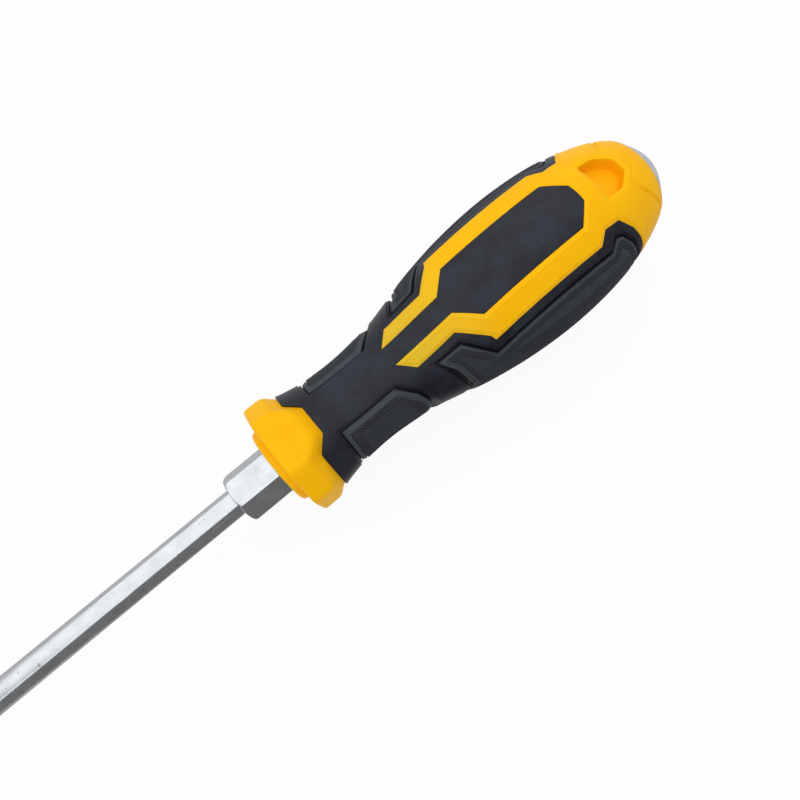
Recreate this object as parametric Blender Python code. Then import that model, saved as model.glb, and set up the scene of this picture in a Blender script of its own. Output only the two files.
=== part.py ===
"""Cross-head screwdriver with a strike cap.

The tool's axis lies along X. The working tip is at the origin and the butt points to +X.
The handle's two faces, which carry the ribs and the plate, look along +Z and -Z, and its
pads are on the sides, along +Y and -Y.

Outlines and profiles on the handle are tables of shares: the first number is a share of
HANDLE_LENGTH, counted from the nose ring's face, and the second a share of BELLY_RADIUS.
"""
import math

import bmesh
import bpy
from mathutils import Matrix, Vector

# Driving dimensions, in metres
BLADE_REACH = 0.100
HANDLE_LENGTH = 0.1149
BELLY_RADIUS = 0.0185
GAP = 0.0003
OVERRUN = 0.001
WELD = 0.000001

# Steel bar and its cross tip
BAR_FLATS = 0.00635
TIP_END_RADIUS = 0.00085
TIP_RADIUS = 0.003
TIP_CONE_ANGLE = math.radians(26.5)
TIP_ROUND_LENGTH = 0.010
TIP_TAPER_LENGTH = 0.003
FLUTE_START_RADIUS = 0.0007
FLUTE_HALF_WIDTH = 0.0002
FLUTE_LENGTH = 0.007
FLUTE_RUN_OUT = 0.005
FLUTE_RISE_ANGLE = math.radians(5.75)
FLUTE_WALL_ANGLE = math.radians(46)

# Bolster
BOLSTER_FLATS = 0.011
BOLSTER_LENGTH = 0.0108
BOLSTER_CORNER = 0.0014

# Nose ring and guard
NOSE_RADIUS = 0.0095
NOSE_LENGTH = 0.0020
NOSE_ROUND = 0.0010
GUARD_RADIUS = 0.0149
GUARD_STRAIGHT = 0.0056
GUARD_CHAMFER = 0.0018
GUARD_CORNER = 0.0016
GUARD_FRONT_ROUND = 0.0008
GUARD_FACE_ANGLE = math.radians(26.5)
GUARD_SIDE_ANGLE = math.radians(63.5)

# Handle mouldings
SLEEVE_THICKNESS = 0.0026
POCKET_DEPTH = 0.0014
PAD_GROOVE = 0.0007
FRONT_PAD_DROP = 0.0001
REAR_PAD_RISE = 0.0002
RIB_RISE = 0.00035
TAB_RISE = 0.00015
RECESS_FLOOR = 0.0108

# Strike cap
CAP_HEIGHT = 0.0062
CAP_BAND = 0.0004
CAP_FACE_RADIUS = 0.003
CAP_CROWN = 0.0025
CAP_SPIGOT_WALL = 0.0024
CAP_SPIGOT_LENGTH = 0.0022

# Steps round an outer surface and a hidden one, along the handle, over the dome, round a corner
OUTER_STEPS = 48
HIDDEN_STEPS = 24
FORM_STEPS = 24
DOME_STEPS = 6
CORNER_STEPS = 3

# Radius of the handle, from the guard to the strike cap
FORM_SHARES = (
    (0.082, 0.697), (0.095, 0.672), (0.147, 0.614), (0.208, 0.596), (0.269, 0.623), (0.321, 0.671),
    (0.373, 0.749), (0.426, 0.832), (0.478, 0.896), (0.530, 0.946), (0.600, 0.988), (0.669, 1.0),
    (0.739, 0.980), (0.791, 0.943), (0.835, 0.892), (0.870, 0.838), (0.904, 0.768), (0.943, 0.654),
)
# Where the ribs' rise starts to fade, and where it is gone
RISE_FADE_SHARES = (0.78, 0.86)

# Outlines seen from a face, on the +Y side. The rib's outer edge runs from its tip to the
# side of the butt, and its inner edge from beside the neck round the plate.
RIB_OUTER_SHARES = (
    (0.294, 0.127), (0.323, 0.311), (0.413, 0.311), (0.464, 0.595), (0.469, 0.654), (0.736, 0.646),
    (0.759, 0.528), (0.796, 0.532), (0.824, 0.681), (0.840, 0.784), (0.850, 0.849), (0.855, 0.946),
)
RIB_INNER_SHARES = ((0.431, 0.130), (0.475, 0.381), (0.722, 0.368), (0.760, 0.130))
TAB_SHARES = ((0.078, 0.387), (0.084, 0.387), (0.111, 0.205))
FRONT_POCKET_SHARES = ((0.139, 0.277), (0.265, 0.284), (0.298, 0.503), (0.316, 0.654), (0.322, 0.757))
REAR_POCKET_SHARES = (
    (0.344, 0.384), (0.413, 0.395), (0.466, 0.730), (0.755, 0.724), (0.773, 0.622), (0.793, 0.643),
    (0.818, 0.762), (0.836, 0.860), (0.844, 0.946),
)
REAR_POCKET_FRONT_SHARES = ((0.395, 0.865), (0.392, 0.784), (0.366, 0.611))
RECESS_SHARES = ((0.805, 0.276), (0.849, 0.270), (0.881, 0.108))
SLEEVE_END_SHARE = 0.870

# Worked out from the sizes above
HANDLE_START = BLADE_REACH
HANDLE_END = HANDLE_START + HANDLE_LENGTH
GUARD_FRONT = HANDLE_START + NOSE_LENGTH
GUARD_REAR = GUARD_FRONT + GUARD_STRAIGHT + GUARD_CHAMFER
SLEEVE_END = HANDLE_START + SLEEVE_END_SHARE * HANDLE_LENGTH
CAP_SEAT = HANDLE_END - CAP_HEIGHT - CAP_BAND
REACH = 2 * BELLY_RADIUS


def material(name, colour, metallic, roughness):
    """A plain Principled material."""
    mat = bpy.data.materials.new(name)
    mat.use_nodes = True
    shader = mat.node_tree.nodes["Principled BSDF"]
    shader.inputs["Base Color"].default_value = (*colour, 1)
    shader.inputs["Metallic"].default_value = metallic
    shader.inputs["Roughness"].default_value = roughness
    return mat


def add_object(name, bm, mat=None):
    """An object from a bmesh. Without a material it is a cutter or a guide."""
    bmesh.ops.recalc_face_normals(bm, faces=bm.faces)
    mesh = bpy.data.meshes.new(name)
    bm.to_mesh(mesh)
    bm.free()
    obj = bpy.data.objects.new(name, mesh)
    bpy.context.scene.collection.objects.link(obj)
    if mat:
        mesh.materials.append(mat)
    else:
        obj.hide_render = True
        obj.display_type = 'WIRE'
    return obj


def combine(obj, other, operation):
    """Union, difference or intersection of an object with a cutter or a guide."""
    mod = obj.modifiers.new(other.name, 'BOOLEAN')
    mod.operation = operation
    mod.solver = 'EXACT'
    mod.object = other


def steps(start, end, count):
    """Evenly spaced values from start to end."""
    return [start + (end - start) * i / count for i in range(count + 1)]


def footprint(shares):
    """Points seen from a face, from a table of shares."""
    return [(HANDLE_START + x * HANDLE_LENGTH, y * BELLY_RADIUS) for x, y in shares]


def mirrored(points):
    """The same points on the -Y side, in reverse order."""
    return [(x, -y) for x, y in reversed(points)]


def form_radius(x):
    """Radius of the handle at x, on a smooth curve through FORM_SHARES."""
    rows = FORM_SHARES
    share = min(max((x - HANDLE_START) / HANDLE_LENGTH, rows[0][0]), rows[-1][0])
    i = max(k for k in range(len(rows) - 1) if rows[k][0] <= share)
    (x1, r1), (x2, r2) = rows[i], rows[i + 1]
    before = rows[max(i - 1, 0)]
    after = rows[min(i + 2, len(rows) - 1)]
    slope1 = (r2 - before[1]) / (x2 - before[0])
    slope2 = (after[1] - r1) / (after[0] - x1)
    width = x2 - x1
    t = (share - x1) / width
    curve = (r1 * (1 + 2 * t) * (1 - t) ** 2 + slope1 * width * t * (1 - t) ** 2
             + r2 * t * t * (3 - 2 * t) + slope2 * width * t * t * (t - 1))
    return curve * BELLY_RADIUS


def turned(name, profile, count, mat=None):
    """A solid of revolution about X, closed by a flat face at each end of its profile."""
    bm = bmesh.new()
    verts = [bm.verts.new((x, 0, r)) for x, r in profile]
    edges = [bm.edges.new(pair) for pair in zip(verts, verts[1:])]
    bmesh.ops.spin(bm, geom=verts + edges, cent=(0, 0, 0), axis=(1, 0, 0),
                   angle=2 * math.pi, steps=count, use_merge=True)
    bmesh.ops.remove_doubles(bm, verts=bm.verts, dist=WELD)
    bmesh.ops.holes_fill(bm, edges=[e for e in bm.edges if e.is_boundary])
    return add_object(name, bm, mat)


def form(name, start, end, offset, count, mat=None):
    """The handle's form between two places, grown or shrunk by an offset."""
    between = [x for x in steps(GUARD_REAR, CAP_SEAT, FORM_STEPS) if start < x < end]
    rims = [(x, form_radius(x) + offset) for x in [start] + between + [end]]
    return turned(name, rims, count, mat)


def extrude(bm, face, way):
    """Draw a face along a way. Gives the new end face."""
    new = bmesh.ops.extrude_face_region(bm, geom=[face])["geom"]
    bmesh.ops.translate(bm, verts=[v for v in new if isinstance(v, bmesh.types.BMVert)], vec=way)
    return next(f for f in new if isinstance(f, bmesh.types.BMFace))


def prism(name, outline, low, high, mat=None):
    """An outline seen from a face, drawn along Z from low to high."""
    bm = bmesh.new()
    face = bm.faces.new([bm.verts.new((x, y, low)) for x, y in outline])
    extrude(bm, face, (0, 0, high - low))
    return add_object(name, bm, mat)


def bar(name, outline, start, end, mat=None):
    """A cross-section in Y and Z drawn along the tool's axis."""
    bm = bmesh.new()
    face = bm.faces.new([bm.verts.new((start, y, z)) for y, z in outline])
    extrude(bm, face, (end - start, 0, 0))
    return add_object(name, bm, mat)


def hexagon(across_flats):
    """A hexagon in Y and Z with two flats looking along Z."""
    radius = across_flats / math.sqrt(3)
    turns = [math.radians(60 * i) for i in range(6)]
    return [(radius * math.cos(a), radius * math.sin(a)) for a in turns]


def grown(outline, distance):
    """The outline with its edges moved outwards by a distance, and sharp corners."""
    count = len(outline)
    area = sum(outline[i - 1][0] * outline[i][1] - outline[i][0] * outline[i - 1][1]
               for i in range(count))
    side = 1 if area > 0 else -1
    moved = []
    for i in range(count):
        before, here, after = (Vector(outline[k % count]) for k in (i - 1, i, i + 1))
        way_in = (here - before).normalized()
        way_out = (after - here).normalized()
        across = Vector((way_in.y, -way_in.x)) * side
        turn = math.atan2(way_in.x * way_out.y - way_in.y * way_out.x, way_in.dot(way_out))
        moved.append(tuple(here + distance * (across + side * math.tan(turn / 2) * way_in)))
    return moved


def yellow_outline():
    """Ribs and butt as one outline round the plate."""
    outer = footprint(RIB_OUTER_SHARES)
    inner = footprint(RIB_INNER_SHARES)
    half = outer + [(outer[-1][0], REACH), (HANDLE_END + REACH, REACH)]
    return half + mirrored(half) + mirrored(inner[::-1]) + inner[::-1]


def tab_outline():
    half = footprint(TAB_SHARES)
    return half + mirrored(half)


def recess_outline():
    half = footprint(RECESS_SHARES)
    return half + mirrored(half)


def front_pocket():
    inner = footprint(FRONT_POCKET_SHARES)
    return inner + [(inner[-1][0], REACH), (inner[0][0], REACH)]


def rear_pocket():
    inner = footprint(REAR_POCKET_SHARES)
    front = footprint(REAR_POCKET_FRONT_SHARES)
    return inner + [(inner[-1][0], REACH), (front[0][0], REACH)] + front


def on_side(outline, side):
    """An outline on the +Y side, or its mirror image on the -Y side."""
    return outline if side > 0 else mirrored(outline)


def flute_cutter(name, angle):
    """The wedge that cuts one flute of the cross tip, with its run-out."""
    rise = math.tan(FLUTE_RISE_ANGLE)
    spread = math.tan(FLUTE_WALL_ANGLE)
    top = 2 * BAR_FLATS
    bottoms = (
        (-OVERRUN, FLUTE_START_RADIUS - OVERRUN * rise),
        (FLUTE_LENGTH, FLUTE_START_RADIUS + FLUTE_LENGTH * rise),
        (FLUTE_LENGTH + FLUTE_RUN_OUT, BAR_FLATS),
    )
    bm = bmesh.new()
    rings = []
    for x, low in bottoms:
        wide = FLUTE_HALF_WIDTH + (top - low) * spread
        corners = ((-FLUTE_HALF_WIDTH, low), (FLUTE_HALF_WIDTH, low), (wide, top), (-wide, top))
        rings.append([bm.verts.new((x, y, z)) for y, z in corners])
    for first, second in zip(rings, rings[1:]):
        for i in range(4):
            bm.faces.new((first[i - 1], first[i], second[i], second[i - 1]))
    bm.faces.new(rings[0])
    bm.faces.new(rings[-1])
    bmesh.ops.rotate(bm, verts=bm.verts, cent=(0, 0, 0), matrix=Matrix.Rotation(angle, 3, 'X'))
    return add_object(name, bm)


def blade(mat):
    """The hexagonal bar, from the cross tip to its end inside the strike cap."""
    tang_end = HANDLE_END - CAP_CROWN - GAP
    obj = bar("blade", hexagon(BAR_FLATS), 0, tang_end, mat)
    cone_length = (TIP_RADIUS - TIP_END_RADIUS) / math.tan(TIP_CONE_ANGLE)
    round_end = cone_length + TIP_ROUND_LENGTH
    envelope = [
        (0, TIP_END_RADIUS), (cone_length, TIP_RADIUS), (round_end, TIP_RADIUS),
        (round_end + TIP_TAPER_LENGTH, BAR_FLATS), (tang_end + OVERRUN, BAR_FLATS),
    ]
    combine(obj, turned("tip_envelope", envelope, OUTER_STEPS), 'INTERSECT')
    for i in range(4):
        cutter = flute_cutter(f"flute_cutter_{i + 1}", math.radians(45 + 90 * i))
        combine(obj, cutter, 'DIFFERENCE')
    return obj


def bolster(mat):
    """The wrench hexagon pressed on the bar, its corners rounded off at the front."""
    end = HANDLE_START - GAP
    start = end - BOLSTER_LENGTH
    obj = bar("bolster", hexagon(BOLSTER_FLATS), start, end, mat)
    corner = BOLSTER_FLATS / math.sqrt(3)
    arc = [(start + BOLSTER_CORNER * (1 - math.cos(a)), corner - BOLSTER_CORNER * (1 - math.sin(a)))
           for a in steps(0, math.pi / 2, CORNER_STEPS)]
    envelope = turned("bolster_envelope", arc + [(end + OVERRUN, corner)], OUTER_STEPS)
    combine(obj, envelope, 'INTERSECT')
    combine(obj, bar("bolster_bore", hexagon(BAR_FLATS + 2 * GAP), 0, HANDLE_END), 'DIFFERENCE')
    return obj


def guard():
    """The eight-sided guard: a rounded octagon that ends in a circle at the neck."""
    half = (GUARD_FACE_ANGLE, GUARD_SIDE_ANGLE, math.pi - GUARD_SIDE_ANGLE, math.pi - GUARD_FACE_ANGLE)
    corners = half + tuple(math.pi + a for a in half)
    bm = bmesh.new()
    bm.faces.new([bm.verts.new((GUARD_FRONT, GUARD_RADIUS * math.sin(a), GUARD_RADIUS * math.cos(a)))
                  for a in corners])
    bmesh.ops.bevel(bm, geom=bm.verts[:], offset=GUARD_CORNER, offset_type='OFFSET',
                    segments=CORNER_STEPS, profile=0.5, affect='VERTICES')
    flats = [e for e in bm.edges if e.calc_length() > GUARD_CORNER]
    bmesh.ops.subdivide_edges(bm, edges=flats, cuts=CORNER_STEPS)
    bm.faces.ensure_lookup_table()
    front = bm.faces[0]
    rim = list(front.edges)
    straight = extrude(bm, front, (GUARD_STRAIGHT, 0, 0))
    rear = extrude(bm, straight, (GUARD_CHAMFER, 0, 0))
    bmesh.ops.delete(bm, geom=[straight], context='FACES_ONLY')
    for v in rear.verts:
        v.co.yz = v.co.yz.normalized() * form_radius(GUARD_REAR)
    bmesh.ops.recalc_face_normals(bm, faces=bm.faces)
    bmesh.ops.bevel(bm, geom=rim, offset=GUARD_FRONT_ROUND, offset_type='OFFSET',
                    segments=2, profile=0.5, affect='EDGES')
    return add_object("guard_form", bm)


def rib_form():
    """The handle's form with the ribs' rise, which fades out towards the butt."""
    fade_start, fade_end = (HANDLE_START + share * HANDLE_LENGTH for share in RISE_FADE_SHARES)
    rims = []
    for x in steps(GUARD_REAR, CAP_SEAT, FORM_STEPS)[:-1] + [CAP_SEAT - GAP]:
        fade = min(max((fade_end - x) / (fade_end - fade_start), 0), 1)
        rims.append((x, form_radius(x) + RIB_RISE * fade))
    return turned("rib_form", rims, OUTER_STEPS)


def handle_core(mat):
    """The hard moulding: nose ring, guard, hidden core, ribs, and the butt with its recesses."""
    nose_arc = [(HANDLE_START + NOSE_ROUND * (1 - math.cos(a)), NOSE_RADIUS - NOSE_ROUND * (1 - math.sin(a)))
                for a in steps(0, math.pi / 2, CORNER_STEPS)]
    seat_start = (GUARD_FRONT + GUARD_REAR) / 2
    places = [x for x in steps(GUARD_REAR, CAP_SEAT, FORM_STEPS) if x < SLEEVE_END] + [SLEEVE_END]
    seat = [(x, form_radius(x) - SLEEVE_THICKNESS) for x in [seat_start] + places]
    obj = turned("handle_core", nose_arc + [(seat_start, NOSE_RADIUS)] + seat, HIDDEN_STEPS, mat)
    combine(obj, guard(), 'UNION')
    ribs = prism("rib_outline", yellow_outline(), -REACH, REACH)
    combine(ribs, rib_form(), 'INTERSECT')
    combine(obj, ribs, 'UNION')
    tab = prism("tab_outline", tab_outline(), -REACH, REACH)
    combine(tab, form("tab_form", seat_start, SLEEVE_END, TAB_RISE, OUTER_STEPS), 'INTERSECT')
    combine(obj, tab, 'UNION')
    combine(obj, bar("core_bore", hexagon(BAR_FLATS + 2 * GAP), 0, HANDLE_END), 'DIFFERENCE')
    spigot_start = CAP_SEAT - CAP_SPIGOT_LENGTH - 2 * GAP
    spigot_radius = form_radius(CAP_SEAT) - CAP_SPIGOT_WALL + GAP
    pocket = turned("cap_pocket", [(spigot_start, spigot_radius), (HANDLE_END, spigot_radius)], HIDDEN_STEPS)
    combine(obj, pocket, 'DIFFERENCE')
    for word, low, high in (("top", RECESS_FLOOR, REACH), ("bottom", -REACH, -RECESS_FLOOR)):
        combine(obj, prism(f"recess_{word}", recess_outline(), low, high), 'DIFFERENCE')
    return obj


def grip_sleeve(mat):
    """The soft overmoulding: neck, plates and pad borders, with the pads' pockets."""
    obj = form("grip_sleeve", GUARD_REAR + GAP, SLEEVE_END, 0, OUTER_STEPS, mat)
    seat = form("sleeve_seat", GUARD_FRONT, SLEEVE_END + OVERRUN, GAP - SLEEVE_THICKNESS, HIDDEN_STEPS)
    combine(obj, seat, 'DIFFERENCE')
    combine(obj, prism("rib_window", grown(yellow_outline(), GAP), -REACH, REACH), 'DIFFERENCE')
    combine(obj, prism("tab_window", grown(tab_outline(), GAP), -REACH, REACH), 'DIFFERENCE')
    for side, word in ((1, "left"), (-1, "right")):
        for place, outline in (("front", front_pocket()), ("rear", rear_pocket())):
            pocket = prism(f"{place}_pocket_{word}", on_side(outline, side), -REACH, REACH)
            floor = form(f"{place}_floor_{word}", GUARD_FRONT, SLEEVE_END, -POCKET_DEPTH, HIDDEN_STEPS)
            combine(pocket, floor, 'DIFFERENCE')
            combine(obj, pocket, 'DIFFERENCE')
    return obj


def pad(name, pocket, side, rise, mat):
    """A textured pad on the floor of its pocket, with the groove left open round it."""
    obj = prism(name, on_side(grown(pocket, -PAD_GROOVE), side), -REACH, REACH, mat)
    combine(obj, form(f"{name}_top", GUARD_REAR, SLEEVE_END, rise, OUTER_STEPS), 'INTERSECT')
    floor = form(f"{name}_seat", GUARD_FRONT, SLEEVE_END + OVERRUN, GAP - POCKET_DEPTH, HIDDEN_STEPS)
    combine(obj, floor, 'DIFFERENCE')
    return obj


def strike_cap(mat):
    """The domed steel cap, with a spigot in the butt and a blind socket on the bar's end."""
    rim = form_radius(CAP_SEAT)
    depth = (rim ** 2 - CAP_FACE_RADIUS ** 2 - CAP_HEIGHT ** 2) / (2 * CAP_HEIGHT)
    centre = HANDLE_END - CAP_HEIGHT - depth
    radius = math.hypot(rim, depth)
    turns = steps(math.atan2(rim, depth), math.atan2(CAP_FACE_RADIUS, depth + CAP_HEIGHT), DOME_STEPS)
    arc = [(centre + radius * math.cos(a), radius * math.sin(a)) for a in turns]
    spigot_start = CAP_SEAT - CAP_SPIGOT_LENGTH
    spigot_radius = rim - CAP_SPIGOT_WALL
    spigot = [(spigot_start, spigot_radius), (CAP_SEAT, spigot_radius), (CAP_SEAT, rim)]
    obj = turned("strike_cap", spigot + arc, OUTER_STEPS, mat)
    socket = bar("tang_socket", hexagon(BAR_FLATS + 2 * GAP), 0, HANDLE_END - CAP_CROWN)
    combine(obj, socket, 'DIFFERENCE')
    return obj


def build():
    for obj in list(bpy.data.objects):
        bpy.data.objects.remove(obj, do_unlink=True)
    plated = material("plated_steel", (0.62, 0.63, 0.65), 1.0, 0.3)
    cap_steel = material("cap_steel", (0.45, 0.46, 0.48), 1.0, 0.4)
    yellow = material("yellow_plastic", (0.95, 0.50, 0.01), 0.0, 0.42)
    charcoal = material("charcoal_rubber", (0.030, 0.033, 0.041), 0.0, 0.55)
    pad_black = material("pad_rubber", (0.021, 0.022, 0.025), 0.0, 0.7)
    blade(plated)
    bolster(plated)
    handle_core(yellow)
    grip_sleeve(charcoal)
    for side, word in ((1, "left"), (-1, "right")):
        pad(f"front_pad_{word}", front_pocket(), side, -FRONT_PAD_DROP, pad_black)
        pad(f"rear_pad_{word}", rear_pocket(), side, REAR_PAD_RISE, pad_black)
    strike_cap(cap_steel)


build()
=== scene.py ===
"""The looks of the cross-head screwdriver with a strike cap.

The tool's axis lies along X. The handle's two faces, with the ribs and the plate, look along +Z
and -Z. A skin piece of the handle is drawn flat for one quarter of the handle, raised, rounded
and cut into small faces, and then laid round the handle's form and mirrored.

Sizes are in metres. A flat drawing has X along the tool, Y round it, counted from the middle of a
face, and Z as the height over the handle's form. Tables of shares give places on the handle: the
first number is a share of its length, counted from the nose ring's face, and the second a share
of its radius at the belly. A share of BEHIND lies beyond the middle line, and one of BEYOND past
the side.
"""
import math

import bmesh
import bpy
from mathutils import Matrix, Vector


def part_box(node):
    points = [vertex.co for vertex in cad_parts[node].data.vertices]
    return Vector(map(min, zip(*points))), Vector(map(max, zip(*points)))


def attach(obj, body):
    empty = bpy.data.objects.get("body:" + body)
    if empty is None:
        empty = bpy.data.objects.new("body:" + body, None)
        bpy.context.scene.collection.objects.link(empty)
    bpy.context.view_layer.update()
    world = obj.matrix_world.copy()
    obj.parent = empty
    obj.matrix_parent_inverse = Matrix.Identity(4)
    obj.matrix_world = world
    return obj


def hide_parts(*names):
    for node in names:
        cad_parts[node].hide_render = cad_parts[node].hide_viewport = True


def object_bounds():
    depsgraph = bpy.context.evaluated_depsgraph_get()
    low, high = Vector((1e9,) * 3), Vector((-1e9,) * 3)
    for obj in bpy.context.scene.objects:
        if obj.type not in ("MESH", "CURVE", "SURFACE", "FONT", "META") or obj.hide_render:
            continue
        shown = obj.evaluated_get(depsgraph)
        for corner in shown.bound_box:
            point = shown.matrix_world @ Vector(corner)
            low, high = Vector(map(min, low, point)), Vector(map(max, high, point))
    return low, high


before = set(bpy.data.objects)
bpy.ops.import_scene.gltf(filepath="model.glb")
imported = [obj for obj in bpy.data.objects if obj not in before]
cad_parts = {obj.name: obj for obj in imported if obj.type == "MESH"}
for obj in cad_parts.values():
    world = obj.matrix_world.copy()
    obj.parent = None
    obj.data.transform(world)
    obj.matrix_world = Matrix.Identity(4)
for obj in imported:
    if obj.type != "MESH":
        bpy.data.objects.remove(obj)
cad_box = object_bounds()

# Taken from the frame, in metres
NOSE_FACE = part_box("handle_core")[0].x
HANDLE_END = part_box("strike_cap")[1].x
HANDLE_LENGTH = HANDLE_END - NOSE_FACE
BELLY_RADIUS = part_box("grip_sleeve")[1].z
BOLSTER_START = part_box("bolster")[0].x
BOLSTER_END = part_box("bolster")[1].x
BOLSTER_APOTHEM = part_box("bolster")[1].z
BAR_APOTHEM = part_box("blade")[1].z
FLOOR_HEIGHT = cad_box[0][2]

# The handle's form, and where the ribs' rise over it starts to fade and is gone
FORM_SHARES = (
    (0.082, 0.697), (0.095, 0.672), (0.147, 0.614), (0.208, 0.596), (0.269, 0.623), (0.321, 0.671),
    (0.373, 0.749), (0.426, 0.832), (0.478, 0.896), (0.530, 0.946), (0.600, 0.987), (0.669, 0.9993),
    (0.739, 0.980), (0.791, 0.943), (0.835, 0.892), (0.870, 0.838), (0.904, 0.768), (0.925, 0.712),
    (0.943, 0.653),
)
RISE_FADE_SHARES = (0.78, 0.86)

# Marks for points past the side and beyond the middle line, and how far past they go
BEYOND = 9.0
BEHIND = -9.0
OVERLAP = 0.0025

# Outlines on one quarter of the handle
TAB_SHARES = ((0.111, BEHIND), (0.111, 0.205), (0.084, 0.387), (0.0835, BEYOND))
RIB_OUTER_SHARES = (
    (0.294, 0.127), (0.323, 0.311), (0.413, 0.311), (0.464, 0.595), (0.469, 0.654), (0.736, 0.646),
    (0.759, 0.528), (0.796, 0.532), (0.824, 0.681), (0.840, 0.784), (0.850, 0.849), (0.855, BEYOND),
)
RIB_INNER_SHARES = ((0.762, BEHIND), (0.760, 0.130), (0.722, 0.368), (0.475, 0.381), (0.431, 0.130))
FRONT_POCKET_SHARES = (
    (0.131, BEYOND), (0.131, 0.277), (0.273, 0.284), (0.306, 0.503), (0.324, 0.654), (0.330, BEYOND),
)
REAR_POCKET_SHARES = (
    (0.395, BEYOND), (0.366, 0.611), (0.344, 0.384), (0.413, 0.395), (0.466, 0.730), (0.755, 0.724),
    (0.773, 0.622), (0.793, 0.643), (0.818, 0.762), (0.836, 0.860), (0.844, BEYOND),
)
FRONT_PAD_SHARES = (
    (0.138, BEYOND), (0.138, 0.325), (0.264, 0.320), (0.297, 0.524), (0.313, 0.649), (0.315, BEYOND),
)
REAR_PAD_FRONT_SHARES = ((0.410, BEYOND), (0.381, 0.611), (0.358, 0.438))
REAR_PAD_SHARES = REAR_PAD_FRONT_SHARES + (
    (0.410, 0.459), (0.463, 0.778), (0.755, 0.778), (0.775, 0.683), (0.790, 0.692), (0.813, 0.793),
    (0.830, 0.872), (0.838, BEYOND),
)
RECESS_CORNER_SHARES = ((0.805, 0.276), (0.849, 0.270), (0.881, 0.108))
RECESS_SHARES = ((0.805, BEHIND),) + RECESS_CORNER_SHARES + ((0.881, BEHIND),)
GROOVE_SHARES = (
    (0.904, 0.0), (0.901, 0.125), (0.881, 0.235), (0.883, 0.345), (0.895, 0.455), (0.910, 0.532),
    (0.926, 0.600), (0.926, BEYOND),
)
CAP_SEAT_SHARE = 0.9426
CAP_SEAT = NOSE_FACE + CAP_SEAT_SHARE * HANDLE_LENGTH

# Heights over the form: the skins' hidden edge, the sleeve's core, the ribs and the butt, and how
# far the butt's skin falls, over a soft width, at the recess and at the cap
SKIN_ROOT = -0.0011
CORE_DEPTH = 0.0013
RIB_RISE = 0.00035
BUTT_LEVEL = -0.00008
SOFT_WIDTH = 0.0015
RECESS_DROP = 0.00040
RIM_DROP = 0.00008

# The size of a skin's cells, the side of an outline that is long enough to divide and the length
# of its parts, the flat rows beside a rounded edge, and the distance that counts as none
CELL = 0.001
LONG_SIDE = 0.0085
SHORT_SIDE = 0.0055
SUPPORT = 0.0001
FINE_SUPPORT = 0.00006
WELD = 0.00001
MM_PER_M = 1000

# Sides that turn more than this, in degrees, stay sharp
METAL_ANGLE = 35
MOULDED_ANGLE = 40
RECESS_ANGLE = 50


def place(share):
    """X of a share of the handle's length."""
    return NOSE_FACE + share * HANDLE_LENGTH


def form_radius(x):
    """Radius of the handle at x, on a smooth curve through FORM_SHARES."""
    rows = FORM_SHARES
    share = min(max((x - NOSE_FACE) / HANDLE_LENGTH, rows[0][0]), rows[-1][0])
    i = max(k for k in range(len(rows) - 1) if rows[k][0] <= share)
    (x1, r1), (x2, r2) = rows[i], rows[i + 1]
    before = rows[max(i - 1, 0)]
    after = rows[min(i + 2, len(rows) - 1)]
    slope1 = (r2 - before[1]) / (x2 - before[0])
    slope2 = (after[1] - r1) / (after[0] - x1)
    width = x2 - x1
    t = (share - x1) / width
    curve = (r1 * (1 + 2 * t) * (1 - t) ** 2 + slope1 * width * t * (1 - t) ** 2
             + r2 * t * t * (3 - 2 * t) + slope2 * width * t * t * (t - 1))
    return curve * BELLY_RADIUS


def hard_rise(x):
    """How far the hard moulding stands over the form at x."""
    start, end = (place(share) for share in RISE_FADE_SHARES)
    return RIB_RISE * min(max((end - x) / (end - start), 0), 1)


def no_rise(x):
    return 0.0


# Working with Blender's tools


def only(obj):
    """Deselect everything but one object, and make it the active one."""
    bpy.ops.object.select_all(action='DESELECT')
    obj.select_set(True)
    bpy.context.view_layer.objects.active = obj


def edit(obj, select='SELECT'):
    """Go into edit mode on one object, with all or none of it selected."""
    only(obj)
    bpy.ops.object.mode_set(mode='EDIT')
    bpy.ops.mesh.select_mode(type='FACE')
    bpy.ops.mesh.select_all(action=select)


def leave():
    bpy.ops.object.mode_set(mode='OBJECT')


def named(name):
    """Give the active object its name."""
    obj = bpy.context.object
    obj.name = name
    obj.data.name = name
    return obj


def apply_modifier(obj, kind, **settings):
    """Add a modifier with these settings and apply it."""
    mod = obj.modifiers.new(kind, kind)
    for key, value in settings.items():
        setattr(mod, key, value)
    only(obj)
    bpy.ops.object.modifier_apply(modifier=mod.name)


def shade(obj, angle):
    """Shade an object smooth, apart from its sharp sides."""
    only(obj)
    bpy.ops.object.shade_smooth_by_angle(angle=math.radians(angle))


def tidy_shell(obj, angle):
    """Merge doubles, turn the faces outwards and shade the shell."""
    edit(obj)
    bpy.ops.mesh.remove_doubles(threshold=WELD)
    bpy.ops.mesh.normals_make_consistent(inside=False)
    leave()
    shade(obj, angle)


def join(objs, name):
    """Join several objects into one."""
    only(objs[0])
    for obj in objs[1:]:
        obj.select_set(True)
    bpy.ops.object.join()
    return named(name)


def pick(obj, kind, test):
    """In edit mode, select the corners, sides or faces that pass a test on the mesh's part."""
    bpy.ops.mesh.select_mode(type=kind)
    bpy.ops.mesh.select_all(action='DESELECT')
    bm = bmesh.from_edit_mesh(obj.data)
    for part in {'VERT': bm.verts, 'EDGE': bm.edges, 'FACE': bm.faces}[kind]:
        part.select_set(test(part))
    bmesh.update_edit_mesh(obj.data)


def show_only(obj, test):
    """In edit mode, hide the faces of a piece whose middle doesn't pass a test."""
    bpy.ops.mesh.reveal(select=False)
    pick(obj, 'FACE', lambda face: test(face.calc_center_median()))
    bpy.ops.mesh.hide(unselected=True)


# Flat drawings of the handle's skin


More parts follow.
